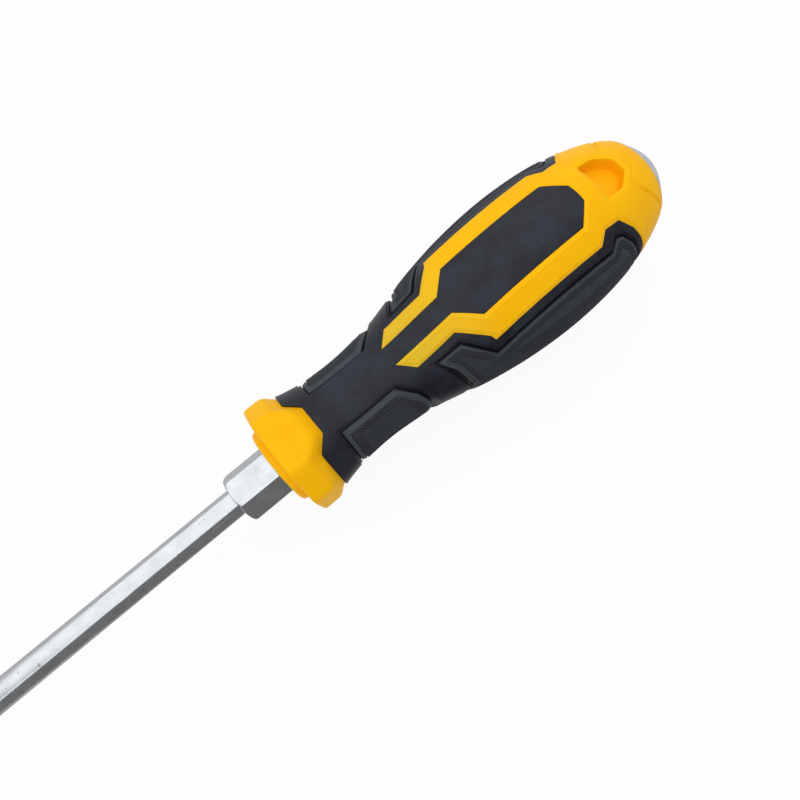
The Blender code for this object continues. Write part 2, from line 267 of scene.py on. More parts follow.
def laid_flat(x, y, girth):
    """A point of the plan, seen along the tool's Z, as a point of a flat drawing."""
    if y < 0:
        return Vector((x, -OVERLAP))
    share = y / form_radius(x)
    if share > 1:
        return Vector((x, girth * math.pi / 2 + OVERLAP))
    return Vector((x, girth * math.asin(share)))


def flat_line(shares, girth):
    """A table of shares as points of a flat drawing."""
    return [laid_flat(place(x), y * BELLY_RADIUS, girth) for x, y in shares]


def flat_outline(shares, girth):
    """A closed table of shares as points of a flat drawing, with long sides divided."""
    points = []
    for here, after in zip(shares, shares[1:] + shares[:1]):
        a, b = (Vector((place(x), y * BELLY_RADIUS)) for x, y in (here, after))
        parts = 1
        if not {here[1], after[1]} & {BEYOND, BEHIND} and (b - a).length > LONG_SIDE:
            parts = int((b - a).length / SHORT_SIDE)
        points += [laid_flat(*(a + (b - a) * i / parts), girth) for i in range(parts)]
    turning = sum(points[i - 1].cross(points[i]) for i in range(len(points)))
    return points if turning > 0 else points[::-1]


def distance_to_line(point, line):
    """How far a point of a flat drawing is from a line of several straight stretches."""
    best = 1.0
    for a, b in zip(line, line[1:]):
        side = b - a
        t = min(max((point - a).dot(side) / side.length_squared, 0), 1)
        best = min(best, (a + side * t - point).length)
    return best


def draw(name, outline, height):
    """A flat face of any outline, from a filled circle with its corners moved to their places."""
    bpy.ops.object.select_all(action='DESELECT')
    bpy.ops.mesh.primitive_circle_add(vertices=len(outline), radius=CELL, fill_type='NGON')
    obj = named(name)
    for vert, (x, y) in zip(obj.data.vertices, outline):
        vert.co = (x, y, height)
    return obj


def ease_corners(obj, spots, radius):
    """Round the corners of a flat face that lie at these spots."""
    edit(obj)
    pick(obj, 'VERT', lambda vert: any((vert.co.xy - spot).length < WELD for spot in spots))
    bpy.ops.mesh.bevel(offset=radius, segments=5, affect='VERTICES')
    leave()


def inset_rows(rows):
    """Inset the selected face row by row: each row is a width and a rise."""
    for width, rise in rows:
        bpy.ops.mesh.inset(thickness=width, depth=rise)


def raise_skin(obj, height, rows):
    """Draw a flat face up, then shape its edge by inset rows."""
    edit(obj)
    bpy.ops.mesh.extrude_region_move(TRANSFORM_OT_translate={"value": (0, 0, height)})
    inset_rows(rows)


def rounded(radius, support=SUPPORT):
    """Inset rows for a rounded edge, which rise by the radius, with a flat row after them."""
    turns = [math.radians(a) for a in (0, 30, 60, 90)]
    rows = [(radius * (math.cos(a) - math.cos(b)), radius * (math.sin(b) - math.sin(a)))
            for a, b in zip(turns, turns[1:])]
    return rows + [(support, 0)]


def cut(places, way, clear=None):
    """Cut what is seen in edit mode with planes across a way, each at a place along it."""
    way = Vector(way).normalized()
    for value in places:
        bpy.ops.mesh.select_all(action='SELECT')
        bpy.ops.mesh.bisect(plane_co=way * value, plane_no=way, use_fill=False,
                            clear_inner=clear == 'LOW', clear_outer=clear == 'HIGH')


def steps(start, end, size):
    """Evenly spaced places strictly between two ends, about a size apart."""
    count = max(int(round((end - start) / size)), 1)
    return [start + (end - start) * i / count for i in range(1, count)]


def trim_quarter(girth):
    """In edit mode, cut off what lies past the side and beyond the middle line."""
    bpy.ops.mesh.reveal()
    cut([0], (0, 1, 0), clear='LOW')
    cut([girth * math.pi / 2], (0, 1, 0), clear='HIGH')


def cells(obj, girth, size=CELL, start=0.0):
    """Cut a skin, from a start along the tool on, into cells that follow the form."""
    xs = [v.co.x for v in obj.data.vertices]
    edit(obj)
    show_only(obj, lambda middle: middle.x > start)
    cut(steps(max(min(xs), start), max(xs), size), (1, 0, 0))
    cut(steps(0, girth * math.pi / 2, size), (0, 1, 0))
    bpy.ops.mesh.reveal(select=False)
    leave()


def lay_round(obj, girth, rise=no_rise):
    """Lay a flat skin round the handle's form, and keep each point's height, in millimetres."""
    heights = obj.data.attributes.new("height", 'FLOAT', 'POINT')
    for vert, height in zip(obj.data.vertices, heights.data):
        x, y, z = vert.co
        height.value = z * MM_PER_M
        radius = form_radius(x) + z + rise(x)
        angle = y / girth
        vert.co = (x, radius * math.sin(angle), radius * math.cos(angle))


def mirror_quarter(obj, sides):
    """Mirror a laid quarter to the other face, and to the other side where asked."""
    apply_modifier(obj, 'MIRROR', use_axis=(False, sides, True), use_clip=False,
                   merge_threshold=WELD)
    tidy_shell(obj, MOULDED_ANGLE)


def flat_skin(name, shares, rows, top, eased=(), radius=0.0):
    """A skin piece drawn flat, raised, rounded, trimmed to its quarter and cut into cells."""
    girth = BELLY_RADIUS
    obj = draw(name, flat_outline(shares, girth), SKIN_ROOT)
    if eased:
        ease_corners(obj, flat_line(eased, girth), radius)
    raise_skin(obj, top - SKIN_ROOT, rows)
    trim_quarter(girth)
    leave()
    cells(obj, girth)
    return obj


# Turned forms

LEAST_LEAN_SHARE = 0.3


def turned(name, profile, count):
    """Spin a closed profile of (x, radius) round the tool's axis."""
    bpy.ops.object.select_all(action='DESELECT')
    bpy.ops.mesh.primitive_circle_add(vertices=len(profile), radius=CELL, fill_type='NOTHING')
    obj = named(name)
    for vert, (x, radius) in zip(obj.data.vertices, profile):
        vert.co = (x, 0, radius)
    edit(obj)
    bpy.ops.mesh.select_mode(type='EDGE')
    bpy.ops.mesh.select_all(action='SELECT')
    bpy.ops.mesh.spin(steps=count, angle=2 * math.pi, center=(0, 0, 0), axis=(1, 0, 0))
    leave()
    return obj


def arc(centre_x, centre_r, radius, start, end, count):
    """Points of a profile's rounded corner; angles are in degrees from -X towards the outside."""
    points = []
    for i in range(count + 1):
        a = math.radians(start + (end - start) * i / count)
        points.append((centre_x - radius * math.cos(a), centre_r + radius * math.sin(a)))
    return points


def sweep(start, start_way, end, end_way, count):
    """Points of a smooth curve from a start to an end, with a way at each."""
    points = []
    for i in range(count + 1):
        t = i / count
        near = Vector(start) * (1 - t) ** 3 + (Vector(start) + Vector(start_way)) * 3 * t * (1 - t) ** 2
        far = (Vector(end) - Vector(end_way)) * 3 * t * t * (1 - t) + Vector(end) * t ** 3
        points.append(tuple(near + far))
    return points


def soft_least(values, hardness):
    """The least of several lengths, with a rounded change from one to the next."""
    low = min(values)
    return low - math.log(sum(math.exp((low - v) * hardness) for v in values)) / hardness


def flats(angle, apothems):
    """Distances from the axis to a bar's flats, evenly spaced round it, at an angle.

    A flat that faces nearly sideways there is left out.
    """
    leans = [math.cos(angle - 2 * math.pi * i / len(apothems)) for i in range(len(apothems))]
    return [apothem / lean for apothem, lean in zip(apothems, leans) if lean > LEAST_LEAN_SHARE]


def mill(obj, radius_at):
    """Move each point of a turned form in or out to the radius that a rule gives."""
    for vert in obj.data.vertices:
        x, y, z = vert.co
        angle = math.atan2(y, z)
        radius = radius_at(x, angle, math.hypot(y, z))
        vert.co = (x, radius * math.sin(angle), radius * math.cos(angle))


# The steel bar, its bolster and the cap

HEX_START = 0.0144
HEX_SHRINK_SHARE = 0.942
BAR_EDGE = 0.00028
LONG_EDGE = 0.020


def steel_bar():
    """The bar with its cross tip: the solid's shape, its hexagon slimmer and its long edges rounded."""
    obj = bpy.data.objects.new("steel_bar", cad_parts["blade"].data.copy())
    bpy.context.scene.collection.objects.link(obj)
    mill(obj, lambda x, angle, radius: radius * HEX_SHRINK_SHARE if x > HEX_START else radius)
    edit(obj)
    bpy.ops.mesh.remove_doubles(threshold=WELD)
    bpy.ops.mesh.dissolve_limited(angle_limit=math.radians(0.5))
    pick(obj, 'EDGE', lambda edge: abs(edge.verts[0].co.x - edge.verts[1].co.x) > LONG_EDGE)
    bpy.ops.mesh.bevel(offset=BAR_EDGE, segments=4, affect='EDGES')
    leave()
    shade(obj, METAL_ANGLE)
    return obj


BOLSTER_ROUND = 0.0014
BORE_ROOM_SHARE = 1.02
BOLSTER_BORE = BAR_APOTHEM * HEX_SHRINK_SHARE * BORE_ROOM_SHARE
BOLSTER_HARDNESS = 9000
BOLSTER_STEPS = 240
UNMILLED_SHARE = 0.72


def wrench_bolster():
    """The bolster: turned with a rounded front, then milled to a hexagon."""
    corner = BOLSTER_APOTHEM * 2 / math.sqrt(3)
    front = arc(BOLSTER_START + BOLSTER_ROUND, corner - BOLSTER_ROUND, BOLSTER_ROUND, 0, 90, 8)
    profile = [(BOLSTER_START, BOLSTER_BORE)] + front
    profile += [(x, corner) for x in steps(BOLSTER_START + BOLSTER_ROUND, BOLSTER_END, CELL)]
    profile += [(BOLSTER_END, corner), (BOLSTER_END, BOLSTER_BORE)]
    obj = turned("wrench_bolster", profile, BOLSTER_STEPS)

    def milled(x, angle, radius):
        if radius < corner * UNMILLED_SHARE:
            return radius
        return soft_least([radius] + flats(angle, [BOLSTER_APOTHEM] * 6), BOLSTER_HARDNESS)

    mill(obj, milled)
    tidy_shell(obj, METAL_ANGLE)
    return obj


CAP_GAP = 0.00004
CAP_INSET = 0.00006
CAP_EDGE = 0.00010
CAP_FACE_RADIUS = 0.003
CAP_SEAT_WIDTH_SHARE = 0.9
CAP_FACE_RING_SHARE = 0.85
CAP_START_WAY = (0.0052, -0.0052)
CAP_END_WAY = (0.0006, -0.0032)
CAP_STEPS = 128


def cap_dome():
    """The strike cap: a turned dome that starts at half a right angle, with a small struck flat."""
    start = CAP_SEAT + CAP_GAP
    back = start - 2 * CAP_GAP
    rim = form_radius(CAP_SEAT) + BUTT_LEVEL - RIM_DROP - CAP_INSET
    profile = [(back, 0.0), (back, rim * CAP_SEAT_WIDTH_SHARE), (start, rim - CAP_EDGE)]
    profile += sweep((start + CAP_EDGE, rim), CAP_START_WAY,
                     (HANDLE_END, CAP_FACE_RADIUS), CAP_END_WAY, 18)
    profile += [(HANDLE_END, CAP_FACE_RADIUS * CAP_FACE_RING_SHARE), (HANDLE_END, 0.0)]
    obj = turned("cap_dome", profile, CAP_STEPS)
    tidy_shell(obj, METAL_ANGLE)
    return obj


# The yellow moulding

NOSE_BORE = 0.0034
NOSE_RADIUS = 0.0095
NOSE_ROUND = 0.0010
NOSE_LENGTH = 0.0020
NOSE_ROOT_SHARES = ((0.15, 1.0), (0.05, 1.008), (0.0, 1.03))
GUARD_FRONT = NOSE_FACE + NOSE_LENGTH
GUARD_RADIUS = 0.0149
GUARD_FACE_ANGLE = math.radians(26.5)
GUARD_FACE_RING_SHARES = (0.25, 0.5, 0.7)
GUARD_FRONT_ROUND = 0.0009
GUARD_HARDNESS = 2500
GUARD_GIRTH = 0.0128
GUARD_BEVEL = 0.0026
GUARD_VALLEY = 0.0004
GUARD_VALLEY_DEPTH = 0.0005
GUARD_BEVEL_HARDNESS = 6
GUARD_OVERLAP = 0.0006
GUARD_END = place(TAB_SHARES[0][0]) + GUARD_OVERLAP
GUARD_CELL = 0.0002
GUARD_STEPS = 320


def guard_profile():
    """The turned profile of the nose ring and the guard."""
    face_height = GUARD_RADIUS - NOSE_RADIUS
    round_end = GUARD_FRONT + GUARD_FRONT_ROUND
    profile = [(NOSE_FACE, NOSE_BORE)]
    profile += arc(NOSE_FACE + NOSE_ROUND, NOSE_RADIUS - NOSE_ROUND, NOSE_ROUND, 0, 90, 6)
    profile += [(GUARD_FRONT - NOSE_LENGTH * before, NOSE_RADIUS * rise)
                for before, rise in NOSE_ROOT_SHARES]
    profile += [(GUARD_FRONT, NOSE_RADIUS + face_height * share) for share in GUARD_FACE_RING_SHARES]
    profile += arc(round_end, GUARD_RADIUS - GUARD_FRONT_ROUND, GUARD_FRONT_ROUND, 0, 90, 7)
    profile += [(x, GUARD_RADIUS) for x in steps(round_end, GUARD_END, GUARD_CELL)]
    return profile + [(GUARD_END, GUARD_RADIUS), (GUARD_END, NOSE_BORE)]


def guard_moulding():
    """Nose ring and guard: turned, then milled to eight flats with a bevel along the sleeve."""
    face = GUARD_RADIUS * math.cos(GUARD_FACE_ANGLE)
    slant = GUARD_RADIUS * math.cos(math.radians(45) - GUARD_FACE_ANGLE)
    sleeve_edge = flat_line(TAB_SHARES, GUARD_GIRTH)

    def edge_at(y):
        for a, b in zip(sleeve_edge, sleeve_edge[1:]):
            if y <= b.y:
                return a.x + (b.x - a.x) * (y - a.y) / (b.y - a.y)
        return sleeve_edge[-1].x

    def milled(x, angle, radius):
        if radius <= NOSE_RADIUS + WELD:
            return radius
        wide = soft_least(flats(angle, [face, slant] * 4), GUARD_HARDNESS)
        if x <= GUARD_FRONT + GUARD_FRONT_ROUND + WELD:
            share = (radius - NOSE_RADIUS) / (GUARD_RADIUS - NOSE_RADIUS)
            return NOSE_RADIUS + share * (wide - NOSE_RADIUS)
        here = Vector((x, abs(math.remainder(angle, math.pi)) * GUARD_GIRTH))
        low = form_radius(x) - GUARD_VALLEY_DEPTH
        if here.x >= edge_at(here.y):
            return low
        share = (distance_to_line(here, sleeve_edge) - GUARD_VALLEY) / (GUARD_BEVEL - GUARD_VALLEY)
        return low + (wide - low) * max(soft_least([share, 1.0], GUARD_BEVEL_HARDNESS), 0)

    obj = turned("guard_moulding", guard_profile(), GUARD_STEPS)
    mill(obj, milled)
    tidy_shell(obj, MOULDED_ANGLE)
    return obj


RIB_EDGE = 0.00016
CREST_WIDTH = 0.00080
CREST_RISE = 0.00030
CREST_ROWS = 3
CREST_TOP_WIDTH = 0.00014
CREST_TOP_RISE = 0.00002
CREST_BACK_WIDTH = 0.00020
CREST_FOOT_WIDTH = 0.00008
RECESS_EASE = 0.0009
GROOVE_WIDTH = 0.0011
GROOVE_DEPTH = 0.00050
GROOVE_FAINT_DEPTH = 0.00016
GROOVE_CELL = 0.00030
GROOVE_START = place(GROOVE_SHARES[2][0]) - GROOVE_WIDTH


def carve_groove(obj, girth):
    """Sink the groove that zigzags round the butt; it is faint near the recess."""
    def real(x, y):
        return Vector((x, y / girth * form_radius(x)))

    line = [real(*point) for point in flat_line(GROOVE_SHARES, girth)]
    faint, full = line[2].y, line[4].y
    for vert in obj.data.vertices:
        x, y, z = vert.co
        if z < SKIN_ROOT / 2 or x < GROOVE_START:
            continue
        here = real(x, y)
        away = distance_to_line(here, line) / (GROOVE_WIDTH / 2)
        if away < 1:
            strength = min(max((here.y - faint) / (full - faint), 0), 1)
            depth = GROOVE_FAINT_DEPTH + (GROOVE_DEPTH - GROOVE_FAINT_DEPTH) * strength
            vert.co.z = z - depth * (1 - away ** 2)


def soften_ends(obj, girth):
    """Round the skin down softly at the recess and at the cap, where it has no crest line."""
    recess = flat_line(RECESS_SHARES, girth)
    for vert in obj.data.vertices:
        if vert.co.z < SKIN_ROOT / 2:
            continue
        from_recess = distance_to_line(vert.co.xy, recess)
        for away, drop in ((from_recess, RECESS_DROP), (CAP_SEAT - vert.co.x, RIM_DROP)):
            if away < SOFT_WIDTH:
                vert.co.z = BUTT_LEVEL - drop * (1 - away / SOFT_WIDTH) ** 2


def rib_moulding():
    """The four ribs and the butt, which are one skin."""
    shares = RIB_OUTER_SHARES + ((CAP_SEAT_SHARE, BEYOND), (CAP_SEAT_SHARE, BEHIND))
    shares += RECESS_SHARES[::-1] + RIB_INNER_SHARES
    rows = rounded(RIB_EDGE, FINE_SUPPORT)
    rows += [(CREST_WIDTH / CREST_ROWS, CREST_RISE / CREST_ROWS)] * CREST_ROWS
    rows += [(CREST_TOP_WIDTH, CREST_TOP_RISE), (CREST_BACK_WIDTH, BUTT_LEVEL - CREST_TOP_RISE),
             (CREST_FOOT_WIDTH, 0)]
    top = -RIB_EDGE - CREST_RISE
    obj = flat_skin("rib_moulding", shares, rows, top, RECESS_CORNER_SHARES, RECESS_EASE)
    cells(obj, BELLY_RADIUS, GROOVE_CELL, GROOVE_START)
    soften_ends(obj, BELLY_RADIUS)
    carve_groove(obj, BELLY_RADIUS)
    lay_round(obj, BELLY_RADIUS, hard_rise)
    mirror_quarter(obj, True)
    return obj


# The recess's floor, its drop below the butt's skin at their seam, and its wall, row by row: the
# width of a row and the share of the depth that it falls, as a height
RECESS_FLOOR = 0.0115
SEAM_DROP = 0.00005
RECESS_SKIN = 0.0006
RECESS_WALL_ROWS = (
    (0.00010, -0.06), (0.00016, -0.40), (0.00010, -0.28), (0.00008, -0.14), (0.00008, -0.07),
    (0.00010, -0.04), (0.00012, -0.01),
)


def hanging_recess():
    """The recess in each face of the butt: sloping walls that run softly into a flat floor."""
    girth = BELLY_RADIUS
    obj = draw("hanging_recess", flat_outline(RECESS_SHARES, girth), 0)
    ease_corners(obj, flat_line(RECESS_CORNER_SHARES, girth), RECESS_EASE)
    edit(obj)
    inset_rows(RECESS_WALL_ROWS)
    cut([0], (0, 1, 0), clear='LOW')
    leave()
    cells(obj, girth)
    for vert in obj.data.vertices:
        x, y, share = vert.co
        radius = form_radius(x) + hard_rise(x) + BUTT_LEVEL - RECESS_DROP - SEAM_DROP
        angle = y / girth
        height = radius * math.cos(angle)
        vert.co = (x, radius * math.sin(angle), height + share * (height - RECESS_FLOOR))
    apply_modifier(obj, 'MIRROR', use_axis=(False, True, True), merge_threshold=WELD)
    apply_modifier(obj, 'SOLIDIFY', thickness=RECESS_SKIN, offset=-1)
    shade(obj, RECESS_ANGLE)
    return obj


# The soft sleeve and its pads

LAND_EDGE = 0.00014
TRAY_LIP = 0.00006
LEDGE_DEPTH = 0.00032
LEDGE_WIDTH = 0.00040
POCKET_DEPTH = 0.00102
CORE_END_SHARES = (0.083, 0.79)
CORE_BORE = 0.005
CORE_CELL = 0.0015
CORE_STEPS = 96


def sleeve_land():
    """The smooth outer skin of the sleeve, with windows for ribs, tabs and pads."""
    shares = (TAB_SHARES + FRONT_POCKET_SHARES + REAR_POCKET_SHARES + RIB_OUTER_SHARES[::-1]
              + RIB_INNER_SHARES[::-1])
    obj = flat_skin("sleeve_land", shares, rounded(LAND_EDGE), -LAND_EDGE)
    lay_round(obj, BELLY_RADIUS)
    mirror_quarter(obj, True)
    return obj


def pocket_tray(name, shares):
    """The groove round a pad: a narrow ledge, then the floor that the pad lies on."""
    wall = LEDGE_DEPTH - POCKET_DEPTH + 2 * TRAY_LIP
    rows = ((TRAY_LIP, -TRAY_LIP), (LEDGE_WIDTH, 0), (TRAY_LIP, -TRAY_LIP), (TRAY_LIP, wall),
            (SUPPORT, -TRAY_LIP))
    obj = flat_skin(name, shares, rows, TRAY_LIP - LEDGE_DEPTH)
    lay_round(obj, BELLY_RADIUS)
    mirror_quarter(obj, True)
    return obj


def sleeve_core():
    """The body under the skins, from the guard to the recesses, dark with painted shade."""
    start, end = (place(share) for share in CORE_END_SHARES)
    xs = [start] + steps(start, end, CORE_CELL) + [end]
    profile = [(x, form_radius(x) - CORE_DEPTH) for x in xs]
    profile += [(end, CORE_BORE), (start, CORE_BORE)]
    obj = turned("sleeve_core", profile, CORE_STEPS)
    # Every point lies deep, so the finish paints the whole core in groove shade
    heights = obj.data.attributes.new("height", 'FLOAT', 'POINT')
    for height in heights.data:
        height.value = -CORE_DEPTH * MM_PER_M
    tidy_shell(obj, MOULDED_ANGLE)
    return obj


RIB_PITCH = 0.00050
RIB_HEIGHT = 0.00028
RIB_FADE = 0.0003
RIB_SAMPLES = 4
RIB_CELL = 0.0009
DIMPLE_PITCH = 0.00062
DIMPLE_ROWS = 3
DIMPLE_WIDTH = DIMPLE_ROWS * DIMPLE_PITCH
BAND_WIDTH = 0.0013
BAND_DROP = 0.00035
BRIM_SLACK = 0.00002
LEVEL_SLACK = 0.0000001


def across_way(angle):
    """The direction across ribs that run at an angle to the tool's axis."""
    return Vector((-math.sin(angle), math.cos(angle)))


def along_way(angle):
    """The direction of ribs that run at an angle to the tool's axis."""
    return Vector((math.cos(angle), math.sin(angle)))


def cuts_along(outline, way, size):
    """Cut what is seen across a way, at whole numbers of a size, as far as an outline reaches."""
    reach = [point.dot(way) / size for point in outline]
    places = range(math.ceil(min(reach)), math.ceil(max(reach)))
    cut([size * i for i in places], way.to_3d())


def wave(value, pitch):
    """0 to 1 and back over each pitch."""
    return 0.5 - 0.5 * math.cos(2 * math.pi * value / pitch)


def cut_pad_top(obj, outline, level, zones, slope):
    """In edit mode, cut a pad's top along the slope beside its band, its ribs and its dimples."""
    def on_top(middle):
        return abs(middle.z - level) < LEVEL_SLACK

    def by_edge(middle):
        return on_top(middle) and distance_to_line(middle.xy, outline) < DIMPLE_WIDTH

    show_only(obj, on_top)
    for a, b in zip(slope, slope[1:]):
        way = Vector((a.y - b.y, b.x - a.x)).normalized()
        if way.x < 0:
            way.negate()
        cut([a.dot(way) + BAND_WIDTH], way.to_3d())
    cut([end for end, _ in zones[:-1]], (0, 1, 0))
    start = 0
    for end, angle in zones:
        show_only(obj, lambda middle: on_top(middle) and start < middle.y < end)
        cuts_along(outline, across_way(angle), RIB_PITCH / RIB_SAMPLES)
        cuts_along(outline, along_way(angle), RIB_CELL)
        show_only(obj, lambda middle: by_edge(middle) and start < middle.y < end)
        cuts_along(outline, along_way(angle), DIMPLE_PITCH / RIB_SAMPLES)
        start = end
    bpy.ops.mesh.reveal(select=False)


def lift_pad_top(obj, outline, level, zones, slope):
    """Move a pad's top into a slope, ribs and dimples, and keep each point's share of a valley."""
    valleys = obj.data.attributes.new("valley", 'FLOAT', 'POINT')
    for vert, valley in zip(obj.data.vertices, valleys.data):
        here = vert.co.xy
        inset = distance_to_line(here, outline)
        if abs(vert.co.z - level) > LEVEL_SLACK or inset < BRIM_SLACK:
            continue
        from_band = distance_to_line(here, slope)
        if from_band < BAND_WIDTH:
            vert.co.z -= BAND_DROP * (1 - from_band / BAND_WIDTH)
            continue
        angle = next((a for end, a in zones if here.y <= end + WELD), zones[-1][1])
        lift = wave(here.dot(across_way(angle)), RIB_PITCH)
        if inset < DIMPLE_WIDTH:
            lift *= wave(here.dot(along_way(angle)), DIMPLE_PITCH)
        vert.co.z += RIB_HEIGHT * lift * min(inset / RIB_FADE, 1)
        valley.value = 1 - lift


def pad_skin(name, shares, rows, top, girth, zones, band=()):
    """A pad on one side: drawn flat, raised, its top cut and lifted into ribs, laid and mirrored.

    Each zone is the flat height where it ends, counted from the middle of the face, and the angle
    of its ribs. Beside the outline the ribs are crossed by rows of dimples. A band is a stretch of
    the outline that has a plain slope beside it.
    """
    obj = draw(name, flat_outline(shares, girth), SKIN_ROOT)
    raise_skin(obj, top - SKIN_ROOT, rows)
    bm = bmesh.from_edit_mesh(obj.data)
    brim = next(face for face in bm.faces if face.select)
    outline = [vert.co.xy for vert in brim.verts]
    outline.append(outline[0])
    level = brim.verts[0].co.z
    trim_quarter(girth)
    slope = flat_line(band, girth)
    cut_pad_top(obj, outline, level, zones, slope)
    leave()
    lift_pad_top(obj, outline, level, zones, slope)
    edit(obj)
    show_only(obj, lambda middle: middle.z < level - WELD)
    cut(steps(place(shares[1][0]), place(shares[-2][0]), CELL), (1, 0, 0))
    cut(steps(0, girth * math.pi / 2, CELL), (0, 1, 0))
    bpy.ops.mesh.reveal(select=False)
    leave()
    lay_round(obj, girth)
    mirror_quarter(obj, False)
    return obj


def other_side(obj, name):
    """A copy of a piece with its own mesh, mirrored to the other side of the handle."""
    only(obj)
    bpy.ops.object.duplicate()
    copy = named(name)
    for vert in copy.data.vertices:
        vert.co.y = -vert.co.y
    edit(copy)
    bpy.ops.mesh.flip_normals()
    leave()
    return copy


SLOPE_ANGLE = math.radians(38)
RIB_TURN_ANGLE = math.radians(68)
FRONT_PAD_GIRTH_SHARE = 0.225
FRONT_PAD_TOP = -0.00066
FRONT_PAD_EDGE = 0.00015
FRONT_PAD_BEVEL_ROWS = [(0.0009, 0.00036), (0.0001, 0.00001), (0.0001, -0.00002)]
REAR_PAD_GIRTH_SHARE = 0.62
REAR_PAD_TOP = -0.00034
REAR_PAD_EDGE = 0.00020
REAR_PAD_CROWN_ROWS = [(0.00020, 0.00003)]


def front_pads():
    """The pads beside the neck, with a wide bevel and ribs that all run one way."""
    girth = form_radius(place(FRONT_PAD_GIRTH_SHARE))
    rows = rounded(FRONT_PAD_EDGE, FINE_SUPPORT) + FRONT_PAD_BEVEL_ROWS
    zones = ((girth * math.pi, -SLOPE_ANGLE),)
    left = pad_skin("front_pad_left_skin", FRONT_PAD_SHARES, rows, FRONT_PAD_TOP, girth, zones)
    return left, other_side(left, "front_pad_right_skin")


def rear_pads():
    """The pads beside the body, with ribs that turn near the side and a slope at the front."""
    girth = form_radius(place(REAR_PAD_GIRTH_SHARE))
    rows = rounded(REAR_PAD_EDGE) + REAR_PAD_CROWN_ROWS
    zones = ((girth * RIB_TURN_ANGLE, -SLOPE_ANGLE), (girth * math.pi, SLOPE_ANGLE))
    left = pad_skin("rear_pad_left_skin", REAR_PAD_SHARES, rows, REAR_PAD_TOP, girth, zones,
                    REAR_PAD_FRONT_SHARES)
    return left, other_side(left, "rear_pad_right_skin")


# Finishes


class Wire:
    """A shader socket that can be used in sums, and the one way to add a node."""

    def __init__(self, tree, socket=None):
        self.tree = tree
        self.socket = socket

    def node(self, kind, settings=None, inputs=None, output=0):
        made = self.tree.nodes.new(kind)
        for key, value in (settings or {}).items():
            setattr(made, key, value)
        for key, value in (inputs or {}).items():
            if isinstance(value, Wire):
                self.tree.links.new(value.socket, made.inputs[key])
            else:
                made.inputs[key].default_value = value
        return Wire(self.tree, made.outputs[output])

    def maths(self, operation, first, second):
        return self.node('ShaderNodeMath', {"operation": operation}, {0: first, 1: second})

    def __add__(self, other):
        return self.maths('ADD', self, other)

    __radd__ = __add__

    def __mul__(self, other):
        return self.maths('MULTIPLY', self, other)

    __rmul__ = __mul__

    def __sub__(self, other):
        return self.maths('SUBTRACT', self, other)

    def __rsub__(self, other):
        return self.maths('SUBTRACT', other, self)

    def object_point(self):
        return self.node('ShaderNodeTexCoord', output="Object")

    def noise(self, scale, detail=3, roughness=0.5, stretch=(1, 1, 1)):
        """Noise on the piece's own coordinates, in cycles per metre."""
        moved = self.node('ShaderNodeMapping', inputs={"Vector": self.object_point(), "Scale": stretch})
        return self.node('ShaderNodeTexNoise', {"noise_dimensions": '3D'},
                         {"Vector": moved, "Scale": scale, "Detail": detail, "Roughness": roughness})

    def ramp(self, low, high, value):
        """0 at low, 1 at high, and even between."""
        return self.node('ShaderNodeMapRange', inputs={"Value": value, "From Min": low, "From Max": high})

    def mixed(self, share, first, second):
        """One colour changed into another by a share."""
        return self.node('ShaderNodeMix', {"data_type": 'RGBA'},
                         {0: share, 6: first, 7: second}, output=2)

    def bump(self, height, distance, strength):
        return self.node('ShaderNodeBump', inputs={"Height": height, "Distance": distance,
                                                   "Strength": strength})


def finish(name, metallic, ior):
    """A new Principled material: its shader and a wire to start from."""
    mat = bpy.data.materials.new(name)
    mat.use_nodes = True
    shader = mat.node_tree.nodes["Principled BSDF"]
    shader.inputs["Metallic"].default_value = metallic
    shader.inputs["IOR"].default_value = ior
    return mat, shader, Wire(mat.node_tree)


def connect(shader, colour, roughness, normal):
    """Link a finish's three wires to its shader."""
    for key, wire in (("Base Color", colour), ("Roughness", roughness), ("Normal", normal)):
        wire.tree.links.new(wire.socket, shader.inputs[key])


def rgb(*values):
    """A colour given as it looks on screen, 0 to 255, as the shader's linear one."""
    return (*(((v / 255 + 0.055) / 1.055) ** 2.4 if v > 10 else v / 255 / 12.92 for v in values), 1)


def plated_steel():
    """Satin plating: a mottled grey with fine drawn lines, light scratches and a few specks."""
    mat, shader, start = finish("plated_steel_finish", 1.0, 2.5)
    shader.inputs["Specular Tint"].default_value = (0.72, 0.72, 0.73, 1)
    cloud = start.noise(260, 4, 0.65)
    lines = start.noise(2600, 3, 0.6, stretch=(0.035, 1, 1))
    scratches = start.ramp(0.66, 0.70, start.noise(1500, 2, 0.4, stretch=(0.06, 1, 1)))
    specks = start.ramp(0.69, 0.74, start.noise(900, 2, 0.5))
    colour = start.mixed(start.ramp(0.3, 0.7, cloud), rgb(167, 170, 174), rgb(184, 187, 190))
    colour = start.mixed(scratches * 0.35, colour, rgb(232, 234, 236))
    colour = start.mixed(specks * 0.6, colour, rgb(112, 108, 102))
    roughness = 0.18 + start.ramp(0.35, 0.65, cloud) * 0.06 + start.ramp(0.4, 0.6, lines) * 0.05
    normal = start.bump(lines * 0.6 + cloud * 0.18, 0.00003, 0.5)
    connect(shader, colour, roughness, normal)
    return mat


def blasted_steel():
    """Turned and bead-blasted steel."""
    mat, shader, start = finish("blasted_steel_finish", 1.0, 2.5)
    grain = start.noise(5200, 2, 0.6)
    cloud = start.noise(300, 3, 0.5)
    colour = start.mixed(start.ramp(0.35, 0.65, cloud), rgb(164, 169, 174), rgb(180, 184, 189))
    roughness = 0.44 + 0.12 * grain
    connect(shader, colour, roughness, start.bump(grain, 0.00004, 0.6))
    return mat


# Shares of the handle's length where the painted sheen on the ribs' tips fades in, and where it fades out
RIB_SHEEN_START_SHARES = (0.20, 0.22)
RIB_SHEEN_END_SHARES = (0.36, 0.50)


